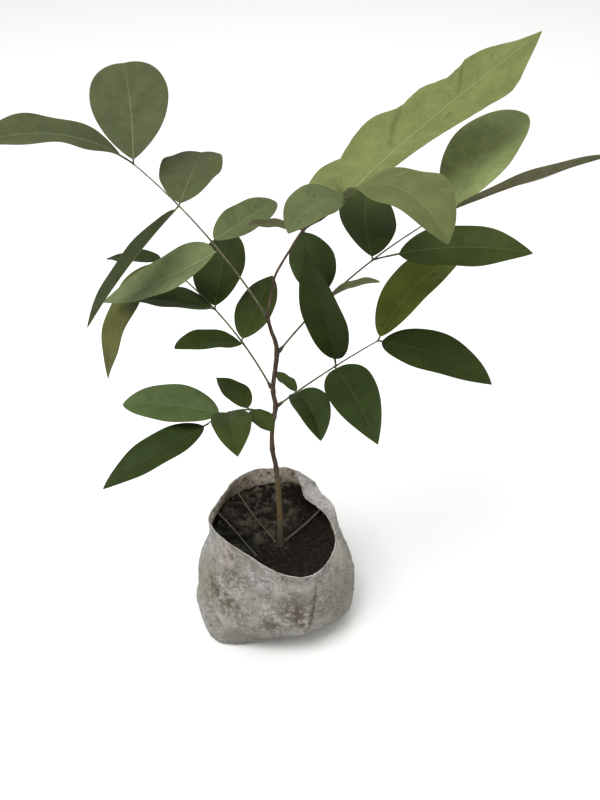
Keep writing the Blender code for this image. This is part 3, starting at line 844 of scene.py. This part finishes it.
def make_trunk(materials):
    stem = spline_path(STEM_NODES)
    joints = [*(leaf.stem_height for leaf in COMPOUND_LEAVES), *SCAR_HEIGHTS]

    def radius(distance):
        height = stem.at(distance)[2]
        flare = math.exp(-max(height - SOIL_LEVEL, 0.0) / 3.0)
        return stem.radius(distance) + 0.32 * swelling(height, joints, 2.2) + 0.35 * flare

    soup = Soup()
    soup.add(*tube(stem, radius, *TRUNK_MESH, bark_relief))
    mesh_piece("trunk_bark", soup, materials, ["trunk"])
    return stem


def make_shoot(materials):
    shoot = spline_path(SHOOT_NODES)

    def radius(distance):
        return shoot.radius(distance) + 0.3 * swelling(distance, SHOOT_JOINTS, 2.0)

    soup = Soup()
    soup.add(*tube(shoot, radius, *SHOOT_MESH, bark_relief))
    stalklets = make_leaves("top", shoot, SHOOT_LEAFLETS, 40)
    soup.add(stalklets.points, stalklets.faces, 1)
    mesh_piece("shoot_bark", soup, materials, ["upper_shoot", "foliage_top"])
    return shoot


def make_compound_leaf(leaf, stem, shoot, materials, seed):
    root = read_rows(leaf.stem_height, stem.points[:, 2], stem.points)
    path = arching_path(root, leaf.heading, leaf.turn, leaf.rise, leaf.droop, leaf.length, 40)
    neighbours = (stem, shoot) if leaf.place == "upper_left" else (stem,)
    start = 0.0
    while min(other.clear_of(path.at(start)) for other in neighbours) < STALK_CLEARANCE:
        start += 0.1
    start = max(start - STALK_SUNK, 0.0)
    joints = sorted({leaflet.at for leaflet in leaf.leaflets})

    def radius(distance):
        plain = float(np.interp(distance, (start, leaf.length), (STALK_RADIUS, RACHIS_TIP_RADIUS)))
        foot = 0.75 * bell(distance - start - 1.5, 3.2)
        return plain + foot + 0.25 * swelling(distance, joints, 1.3)

    def relief(distance, angle):
        return 0.05 * ring_wobble(angle, 2, distance * 0.4 + seed)

    soup = Soup()
    soup.add(*tube(path, radius, *LIMB_MESH, relief, start, leaf.length + 0.6))
    sides, rings = LIMB_MESH
    foot_faces = int(PULVINUS_LENGTH / (leaf.length - start) * rings) * sides
    soup.slots[:foot_faces] = [2] * foot_faces
    stalklets = make_leaves(leaf.place, path, leaf.leaflets, seed)
    soup.add(stalklets.points, stalklets.faces, 1)
    nodes = ["stalk_" + leaf.place, "foliage_" + leaf.place]
    mesh_piece("limb_" + leaf.place, soup, materials, nodes)


# --- bag and soil


def superellipse(angle, length, depth, squareness):
    across = abs(math.cos(angle) / (length / 2)) ** squareness
    over = abs(math.sin(angle) / (depth / 2)) ** squareness
    return (across + over) ** (-1 / squareness)


def around(values, angle):
    count = len(values)
    place = (angle / math.tau % 1.0) * count
    index = int(place)
    return knot_spline(*(values[(index + step) % count] for step in (-1, 0, 1, 2)), place - index)


def full_turn(count):
    return [math.tau * side / count for side in range(count)]


def ease(share):
    share = min(max(share, 0.0), 1.0)
    return share * share * (3 - 2 * share)


def rim_height(angle):
    return RIM_HEIGHT + RIM_SLOPE * math.cos(angle - math.radians(RIM_HIGHEST))


def past(angle, heading):
    """How far an angle is past a heading in degrees, the short way round."""
    return math.remainder(angle - math.radians(heading), math.tau)


def tuck_share(angle):
    away = abs(past(angle, TUCK_HEADING))
    return ease(TUCK_FULL * (1 - away / math.radians(TUCK_SPREAD)))


def tuck_level(angle):
    """The share of the rim's height at which the tuck folds in."""
    away = past(angle, TUCK_HEADING)
    return TUCK_LEVEL + TUCK_LEVEL_RISE * ease(0.4 + away / math.radians(0.8 * TUCK_SPREAD))


def wall_point(angle, height, inset):
    base = superellipse(angle - math.radians(BASE_TURN), BASE_LENGTH, BASE_DEPTH, BASE_SQUARENESS)
    belly = superellipse(angle, BELLY_LENGTH, BELLY_DEPTH, BELLY_SQUARENESS)
    rim = around(RIM_REACH, angle)
    level = height / rim_height(angle)
    if level < BELLY_LEVEL:
        swell = math.sin(math.pi / 2 * level / BELLY_LEVEL)
        reach = base + (belly - base) * swell
        centre = np.array(BELLY_CENTRE) * swell
    else:
        close = ease((level - BELLY_LEVEL) / (1 - BELLY_LEVEL))
        tuck = TUCK_DEPTH * tuck_share(angle)
        fold = tuck_level(angle)
        reach = belly + (rim + tuck - belly) * close
        reach -= tuck * ease((level - fold) / (1 - fold))
        centre = np.array(BELLY_CENTRE) * (1 - close) + np.array(RIM_CENTRE) * close
    reach -= inset
    return np.array((centre[0] + reach * math.cos(angle), centre[1] + reach * math.sin(angle), height))


# Creases of the film as (start, end, half width, depth), points on the wall.
CREASES = (
    ((-14, -50, 80), (30, -60, 91), 2, -1),
    ((-14, -51, 75), (30, -61, 86), 3, 0.5),
    ((-52, -34, 66), (-29, -57, 47), 3, -1.3),
    ((-30, -36, 98), (-10, -56, 62), 3, -0.8),
    ((-20, -44, 92), (-2, -58, 60), 2, 0.6),
    ((-60, -20, 80), (-56, -36, 20), 4, -0.8),
    ((62, -22, 90), (60, -36, 20), 4, -0.8),
    ((-46, -46, 28), (10, -62, 22), 2.5, -0.7),
    ((-10, -62, 38), (20, -63, 60), 2.5, -0.8),
    ((58, 14, 70), (54, 30, 20), 4, -1),
    ((5, 52, 104), (12, 46, 12), 4, -1.2),
    ((-30, 44, 104), (-40, 36, 10), 4, -1),
    ((-56, 8, 96), (-60, 12, 12), 4, -1),
)
# The film is lapped over itself in front: the lap's edge, from top to bottom.
LAP_TOP = (37.5, -57.2, 86.0)
LAP_FOOT = (28.5, -61.8, 14.0)
LAP_RISE = 1.1
LAP_ACROSS = (0.87, 0.5)
LAP_REACH = (14.0, 7.0)   # of the side that stands out and of the other side


def crease_height(point):
    total = 0.0
    for start, end, half_width, depth in CREASES:
        start, end = np.array(start), np.array(end)
        line = end - start
        share = float(np.clip(np.dot(point - start, line) / np.dot(line, line), 0, 1))
        away = np.linalg.norm(point - start - line * share)
        fade = min(share, 1 - share) * 5
        total += depth * bell(away, half_width) * min(1.0, 0.35 + fade)
    return total


def lap_height(point):
    """The lapped side stands out along its edge and the other side lies back."""
    top, foot = np.array(LAP_TOP), np.array(LAP_FOOT)
    share = (point[2] - foot[2]) / (top[2] - foot[2])
    if not -0.1 < share < 1.1 or point[1] > -30:
        return 0.0
    edge = foot + (top - foot) * share
    across = (point[0] - edge[0]) * LAP_ACROSS[0] + (point[1] - edge[1]) * LAP_ACROSS[1]
    ends = ease((share + 0.1) / 0.25) * ease((1.1 - share) / 0.3)
    step = -math.tanh(across / 0.7)
    return LAP_RISE * ends * step * math.exp(-abs(across) / LAP_REACH[int(across >= 0)])


LEFT_DENT = np.array((-58.0, -14.0, 82.0))
LEFT_DENT_REACH = 19.0
LEFT_DENT_DEPTH = 3.6


def ridge(x, y, z, width):
    """1 on the lines where a noise crosses nought, falling to 0 beside them."""
    return max(0.0, 1 - abs(wobble(x, y, z)) / width)


def film_relief(point, level):
    """How far the film stands out of its plain shape: dents, folds and crumples."""
    x, y, z = point / 100.0
    dents = 1.3 * wobble(x * 3.2, y * 3.2, z * 2.4 + 5)
    dents -= LEFT_DENT_DEPTH * bell(np.linalg.norm(point - LEFT_DENT), LEFT_DENT_REACH)
    way = min(max(4 * wobble(x * 4 + 9, y * 4, z * 3), -1.0), 1.0)
    folds = 1.1 * way * ridge(x * 7, y * 7, z * 4.5 + 2, 0.16)
    folds += 0.7 * (abs(wobble(x * 9, y * 9, z * 6)) - 0.2)
    crumple = 0.45 * ridge(x * 17, y * 17, z * 12 + 3, 0.20)
    crumple += 0.28 * ridge(x * 36, y * 36, z * 30 + 6, 0.25) + 0.2 * wobble(x * 60, y * 60, z * 50)
    fade = ease(level / 0.12) * (1 - 0.6 * ease((level - 0.85) / 0.15))
    return (dents + folds + crease_height(point) + lap_height(point)) * fade + crumple


FILM_SIDES = 440
FILM_ROWS = 120
FILM_EDGE = ((0.35, 0.35), (0.75, 0.1))   # inset and lift of the rings over the rim's cut edge
FILM_INNER_ROWS = 18
FILM_INNER_FOOT = 90.0
FILM_INSET = 0.9
FILM_ROUND = 4.5
FILM_TUCKED = 2.2
SOIL_RIM = 96.0


def film_point(angle, height, inset):
    """A point of the film, rounded where the wall meets the ground."""
    level = height / rim_height(angle)
    plain = wall_point(angle, height, 0.0)
    rounding = max(0.0, 1 - height / FILM_ROUND)
    tucked = FILM_TUCKED * (1 - math.sqrt(max(0.0, 1 - rounding ** 2)))
    stand = film_relief(plain, level) - inset - tucked
    outwards = np.array((math.cos(angle), math.sin(angle), 0.0))
    return plain + outwards * stand


def make_bag(outside, inside, edge):
    angles = full_turn(FILM_SIDES)
    shares = [1 - (1 - row / FILM_ROWS) ** 1.3 for row in range(FILM_ROWS + 1)]
    rings = [[film_point(a, rim_height(a) * share, 0.0) for a in angles] for share in shares]
    for inset, lift in FILM_EDGE:
        rings.append([film_point(a, rim_height(a), inset) + (0, 0, lift) for a in angles])
    for row in range(1, FILM_INNER_ROWS + 1):
        drop = row / FILM_INNER_ROWS
        heights = [rim_height(a) * (1 - drop) + FILM_INNER_FOOT * drop for a in angles]
        rings.append([film_point(a, height, FILM_INSET) for a, height in zip(angles, heights)])
    soup = Soup()
    soup.add([point for ring in rings for point in ring], grid_faces(len(rings), FILM_SIDES, wrap=True))
    edge_rows = len(FILM_EDGE) + 1
    slots = [0] * FILM_ROWS + [2] * edge_rows + [1] * (FILM_INNER_ROWS - 1)
    soup.slots = [slot for slot in slots for _ in angles]
    floor = [np.array((p[0] * share, p[1] * share, 0.0)) for share in (1.0, 0.5) for p in rings[0]]
    soup.add(floor, flipped(grid_faces(2, FILM_SIDES, wrap=True)))
    soup.add(floor[FILM_SIDES:], flipped([range(FILM_SIDES)]))
    mesh_piece("bag_film", soup, [outside, inside, edge], ["grow_bag"])


def beside(angle, heading, spread):
    """1 at a heading round the rim, falling to 0 a spread of degrees away."""
    return ease(1 - abs(past(angle, heading)) / math.radians(spread))


def soil_height(x, y, edge_share):
    """The crumbly top of the soil, shrunk from the film in front and at the back."""
    lumps = 1.5 * wobble(x * 0.05, y * 0.05, 2.0) + 1.4 * wobble(x * 0.13, y * 0.13, 8.0)
    clods = 2.4 * max(0.0, wobble(x * 0.22, y * 0.22, 4.0)) + 1.0 * abs(wobble(x * 0.5, y * 0.5, 9.0))
    rough = 0.25 + 1.1 * ease((y - x + 40) / 70)
    from_stem = math.hypot(x - STEM_FOOT[0], y - STEM_FOOT[1])
    calm = ease((from_stem - 2.5) / 12) * (1 - 0.7 * ease((edge_share - 0.9) / 0.1))
    angle = math.atan2(y - RIM_CENTRE[1], x - RIM_CENTRE[0])
    front = 6.5 * beside(angle, 222, 50) * ease((edge_share - 0.74) / 0.22)
    back = 6.0 * beside(angle, 92, 60) * ease((edge_share - 0.88) / 0.10)
    climb = 1.4 * (1 - tuck_share(angle)) * ease((edge_share - 0.72) / 0.2)
    mound = 2.0 * bell(from_stem, 8.0)
    return SOIL_LEVEL + 0.1 + (lumps + clods * rough) * calm + climb + mound - front - back


SOIL_SIDES = 220
SOIL_STEPS = 64
SOIL_INSET = 1.3
SOIL_WALL_INSET = 1.8
SOIL_WALL_LEVELS = (2.0, 24.0, 48.0, 72.0, 84.0)
CRUMB_COUNT = 520
CLOD_COUNT = 240
BACK_CLOD_COUNT = 46
BACK_CLOD_HEADINGS = (38, 150)
FOOT_CRUMB_COUNT = 26
FIBRE_COUNT = 26


def make_soil(material):
    angles = full_turn(SOIL_SIDES)
    edge = [film_point(a, SOIL_RIM, SOIL_INSET) for a in angles]
    foot = np.array((*STEM_FOOT, 0.0))
    soup = Soup()
    points = []
    for step in range(SOIL_STEPS + 1):
        share = max(1 - step / SOIL_STEPS, 0.004)
        for corner in edge:
            x, y, _ = foot + (corner - foot) * share
            points.append((x, y, soil_height(x, y, share)))
    soup.add(points, grid_faces(SOIL_STEPS + 1, SOIL_SIDES, wrap=True))
    side_rows = [[film_point(a, h, SOIL_WALL_INSET) for a in angles] for h in SOIL_WALL_LEVELS]
    side_rows.append([np.array(points[i]) for i in range(SOIL_SIDES)])
    sides = [point for row in side_rows for point in row]
    faces = grid_faces(len(side_rows), SOIL_SIDES, wrap=True)
    soup.add(sides, faces + flipped([range(SOIL_SIDES)]))
    mesh_piece("soil_body", soup, [material], ["root_ball"])
    return edge, foot


def crumb(centre, size, generator, rings=5, sides=7, rough=0.22):
    """A small irregular lump built of rings."""
    points = []
    turn = generator.random() * math.tau
    stretch = [generator.uniform(0.7, 1.3) for _ in range(3)]
    for ring in range(rings):
        tilt = math.pi * ring / (rings - 1)
        for side in range(sides):
            angle = math.tau * side / sides + turn
            reach = size * (1 + generator.uniform(-rough, rough))
            points.append(centre + reach * np.array((
                math.sin(tilt) * math.cos(angle) * stretch[0],
                math.sin(tilt) * math.sin(angle) * stretch[1],
                math.cos(tilt) * 0.75 * stretch[2],
            )))
    return points, grid_faces(rings, sides, wrap=True)


def soil_places(edge, foot, count, reach, generator):
    """Random places on the soil as (x, y, share of the way to the film)."""
    for _ in range(count):
        corner = edge[generator.randrange(len(edge))]
        share = math.sqrt(generator.random()) * reach
        x, y, _ = foot + (corner - foot) * share
        yield x, y, share


def make_crumbs(edge, foot, materials):
    """Small crumbs and clods all over, clods along the back, crumbs round the stem and fibres."""
    generator = random.Random(11)
    soup, fibres = Soup(), Soup()

    def from_foot(x, y):
        return math.hypot(x - foot[0], y - foot[1])

    def lump(x, y, share, size, lift, *shape):
        centre = np.array((x, y, soil_height(x, y, share) + size * lift))
        return crumb(centre, size, generator, *shape)

    for x, y, share in soil_places(edge, foot, CRUMB_COUNT, 0.965, generator):
        if from_foot(x, y) < 3.8:
            continue
        size = 0.4 + (0.7 + 1.2 * ease((y - x + 30) / 60)) * generator.random() ** 3
        slot = generator.choice((0, 0, 0, 1, 1, 2))
        soup.add(*lump(x, y, share, size, 0.25), slot)
    for x, y, share in soil_places(edge, foot, CLOD_COUNT, 0.93, generator):
        if generator.random() > ease((y - x + 20) / 60) or from_foot(x, y) < 9:
            continue
        size = generator.uniform(1.8, 4.2)
        slot = generator.choice((0, 0, 0, 1, 2))
        soup.add(*lump(x, y, share, size, -0.3, 9, 13, 0.10), slot)
    for _ in range(BACK_CLOD_COUNT):
        corner = edge[int(len(edge) * generator.uniform(*BACK_CLOD_HEADINGS) / 360)]
        share = generator.uniform(0.86, 0.975)
        x, y, _ = foot + (corner - foot) * share
        size = generator.uniform(0.8, 2.6)
        soup.add(*lump(x, y, share, size, 0.2, 9, 13, 0.12), generator.choice((1, 3, 3)))
    for _ in range(FOOT_CRUMB_COUNT):
        heading = generator.uniform(0, math.tau)
        away = generator.uniform(3.3, 7.0)
        x, y = foot[0] + away * math.cos(heading), foot[1] + away * math.sin(heading)
        size = generator.uniform(0.7, 1.7)
        soup.add(*lump(x, y, 0.1, size, 0.15, 7, 9, 0.14), generator.choice((0, 1, 2)))
    for x, y, share in soil_places(edge, foot, FIBRE_COUNT, 0.9, generator):
        if from_foot(x, y) < 7:
            continue
        heading = generator.uniform(0, 360)
        length = generator.uniform(4, 13)
        bend = generator.uniform(-90, 90)
        flat = arching_path((x, y, 0), heading, bend, 0, 0, length, FIBRE_MESH[1]).points
        path = Path([(px, py, soil_height(px, py, share) + 0.45) for px, py, _ in flat])
        thick = generator.uniform(0.10, 0.20)
        fibres.add(*tube(path, taper(path, (thick, thick)), *FIBRE_MESH))
    soup.add(fibres.points, fibres.faces, 4)
    mesh_piece("soil_crumbs", soup, materials, ["root_ball"])


def make_dry_stalks(material):
    """Dry leaf stalks: each a little bent, thicker at the end that grew on the stem."""
    for number, (start, end, thick, sway) in enumerate(DRY_STALKS):
        start, end = np.array(start), np.array(end)
        level = end[:2] - start[:2]
        across = np.array((-level[1], level[0], 0.0)) / np.linalg.norm(level)
        nodes = []
        for share in np.linspace(0.0, 1.0, 7):
            sag = -0.8 * math.sin(math.pi * share) * (start[2] - end[2]) / 8
            place = start + (end - start) * share + across * sway * math.sin(4.6 * share)
            nodes.append((place[0], place[1], place[2] + sag, thick * (0.8 + 0.2 * share)))
        path = spline_path(nodes)

        def radius(distance, path=path):
            return path.radius(distance) + 0.5 * bell(distance - path.length, 2.2)

        def relief(distance, angle, number=number):
            return 0.10 * ring_wobble(angle, 1, distance * 0.3 + 9 * number)

        soup = Soup()
        soup.add(*tube(path, radius, *DRY_STALK_MESH, relief))
        mesh_piece(f"dry_twig_{number + 1}", soup, [material], [f"dry_stalk_{number + 1}"])


# --- stage

FLOOR_HALF = 6.0         # metres, as are the places and sizes below
FLOOR_COLOUR = (0.86, 0.86, 0.85)
WORLD_STRENGTH = 0.62
LIGHTS = (
    ("key", (-0.6, -0.5, 1.9), 1.1, 38.0),
    ("top", (0.5, 0.7, 2.0), 1.6, 14.0),
)
LIGHT_AIM = (0.03, 0.0, 0.2)
CAMERA_PLACE = (0.024, -0.635, 0.767)
CAMERA_TILT = 50.0       # degrees from looking straight down
CAMERA_LENS = 48.375
CAMERA_SENSOR = 36.0


def make_stage():
    """A plain pale floor, soft studio light and the camera."""
    mesh = bpy.data.meshes.new("floor")
    corners = [(x * FLOOR_HALF, y * FLOOR_HALF, 0) for x, y in ((-1, -1), (1, -1), (1, 1), (-1, 1))]
    mesh.from_pydata(corners, [], [(0, 1, 2, 3)])
    mesh.materials.append(Shader("floor", FLOOR_COLOUR, 0.9, 0.1).material)
    new_object("floor", mesh)

    scene = bpy.context.scene
    scene.world = bpy.data.worlds.new("studio")
    scene.world.use_nodes = True
    background = scene.world.node_tree.nodes["Background"].inputs
    background["Color"].default_value = (1.0, 1.0, 1.0, 1.0)
    background["Strength"].default_value = WORLD_STRENGTH
    scene.view_settings.view_transform = "Standard"

    for name, place, size, power in LIGHTS:
        light = bpy.data.lights.new(name, "AREA")
        light.shape = "SQUARE"
        light.size = size
        light.energy = power
        obj = new_object(name, light)
        obj.location = place
        aim = Vector(LIGHT_AIM) - Vector(place)
        obj.rotation_euler = aim.to_track_quat("-Z", "Y").to_euler()

    camera = bpy.data.cameras.new("camera")
    camera.sensor_width = CAMERA_SENSOR
    camera.lens = CAMERA_LENS
    scene.camera = new_object("camera", camera)
    scene.camera.location = CAMERA_PLACE
    scene.camera.rotation_euler = (math.radians(CAMERA_TILT), 0.0, 0.0)


def main():
    make_stage()
    bark = bark_material()
    stalk, pulvinus, rim = (grained_material(name, *row) for name, row in GRAINED.items())
    stem = make_trunk([bark])
    shoot = make_shoot([bark, pulvinus])
    for number, leaf in enumerate(COMPOUND_LEAVES):
        make_compound_leaf(leaf, stem, shoot, [stalk, pulvinus, pulvinus], 7 * number)
    make_bag(film_material(), film_inside_material(), rim)
    edge, foot = make_soil(soil_material())
    make_crumbs(edge, foot, [crumb_material(name) for name in CRUMBS])
    make_dry_stalks(dry_material())


main()
